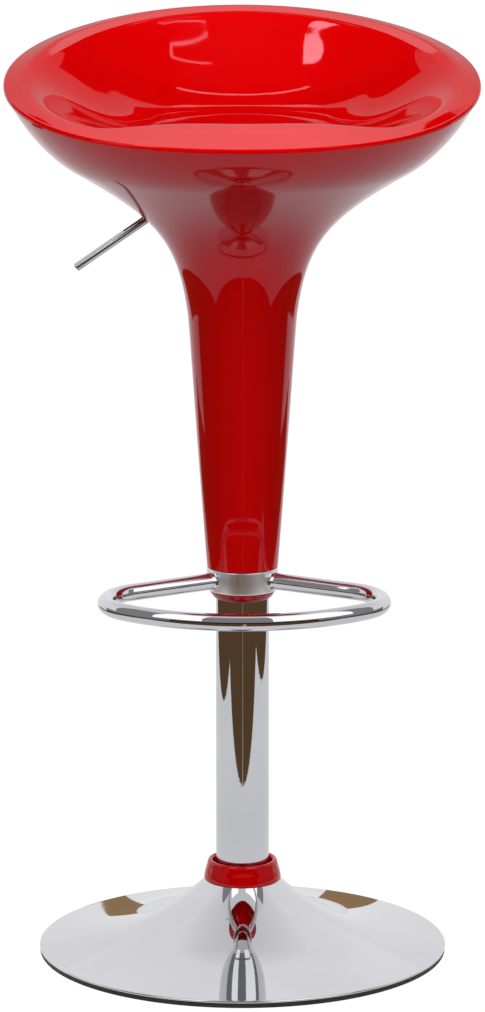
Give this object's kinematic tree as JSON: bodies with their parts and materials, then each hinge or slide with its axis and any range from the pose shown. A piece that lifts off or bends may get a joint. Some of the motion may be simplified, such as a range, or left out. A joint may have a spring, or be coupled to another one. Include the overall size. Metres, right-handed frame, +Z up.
{
  "type": "adjustable swivel bar stool",
  "caption": "Swivel bar stool with a moulded bucket seat flowing into a tapered stem, gas-lift column, release lever, tubular footrest and round spun base.",
  "frame": {"origin": "on the swivel axis, at the floor under the rubber ring of the base", "axes": "+Z up along the column, front of the seat and footrest towards -Y, release lever towards -X (the sitter's right)"},
  "size_m": [0.44, 0.4279, 0.8731],
  "materials": {
    "red_plastic": "high-gloss moulded ABS",
    "chrome_plate": "polished chrome plate",
    "bright_steel": "bright zinc plated",
    "rod_chrome": "ground hard chrome",
    "black_steel": "black satin paint",
    "black_rubber": "moulded rubber",
    "acetal": "natural acetal",
    "brass": "turned brass"
  },
  "bodies": {
    "base": {"base_cover": "chrome_plate", "bottom_plate": "black_steel", "floor_ring": "black_rubber", "base_ring": "red_plastic", "column_flange": "black_steel", "column_tube": "chrome_plate", "column_plug": "bright_steel", "lower_race": "bright_steel", "guide_bush": "acetal", "flange_bolts": "bright_steel", "flange_washers": "bright_steel", "flange_nuts": "bright_steel"},
    "bearing_cage": {"ball_cage": "brass", "bearing_balls": "bright_steel"},
    "rod": {"piston_rod": "rod_chrome", "upper_race": "bright_steel", "bump_stop": "black_rubber", "rod_washer": "bright_steel", "rod_clip": "black_steel", "gas_piston": "bright_steel"},
    "seat": {"gas_cylinder": "black_steel", "rod_guide": "acetal", "valve_body": "brass", "taper_socket": "black_steel", "lever_housing": "black_steel", "seat_plate": "black_steel", "plate_screws": "bright_steel", "plate_washers": "bright_steel", "pivot_pin": "bright_steel", "pivot_clips": "black_steel", "seat_pan": "red_plastic", "trumpet_shell": "red_plastic", "stem_bush": "red_plastic", "footrest_collar": "chrome_plate", "footrest_loop": "chrome_plate", "collar_screws": "black_steel"},
    "lever": {"lever_rod": "rod_chrome", "lever_yoke": "black_steel"},
    "valve": {"valve_pin": "rod_chrome"}
  },
  "joints": [
    {"name": "swivel", "type": "hinge", "parent": "base", "child": "rod", "pos_m": [0, 0, 0.034], "axis": [0, 0, 1], "continuous": true},
    {"name": "cage_spin", "type": "hinge", "parent": "base", "child": "bearing_cage", "pos_m": [0, 0, 0.034], "axis": [0, 0, 1], "continuous": true},
    {"name": "height", "type": "slide", "parent": "rod", "child": "seat", "axis": [0, 0, 1], "range_m": [-0.21, 0]},
    {"name": "lever_lift", "type": "hinge", "parent": "seat", "child": "lever", "pos_m": [-0.026, 0, 0.7443], "axis": [0, 1, 0], "range_deg": [0, 7.7], "stiffness_Nm_per_rad": 2},
    {"name": "valve_press", "type": "slide", "parent": "seat", "child": "valve", "axis": [0, 0, 1], "range_m": [-0.0036, 0]}
  ],
  "couplings": [
    {"joint": "cage_spin", "follows": "swivel", "ratio": 0.5},
    {"joint": "valve_press", "follows": "lever_lift", "m_per_rad": -0.026}
  ]
}
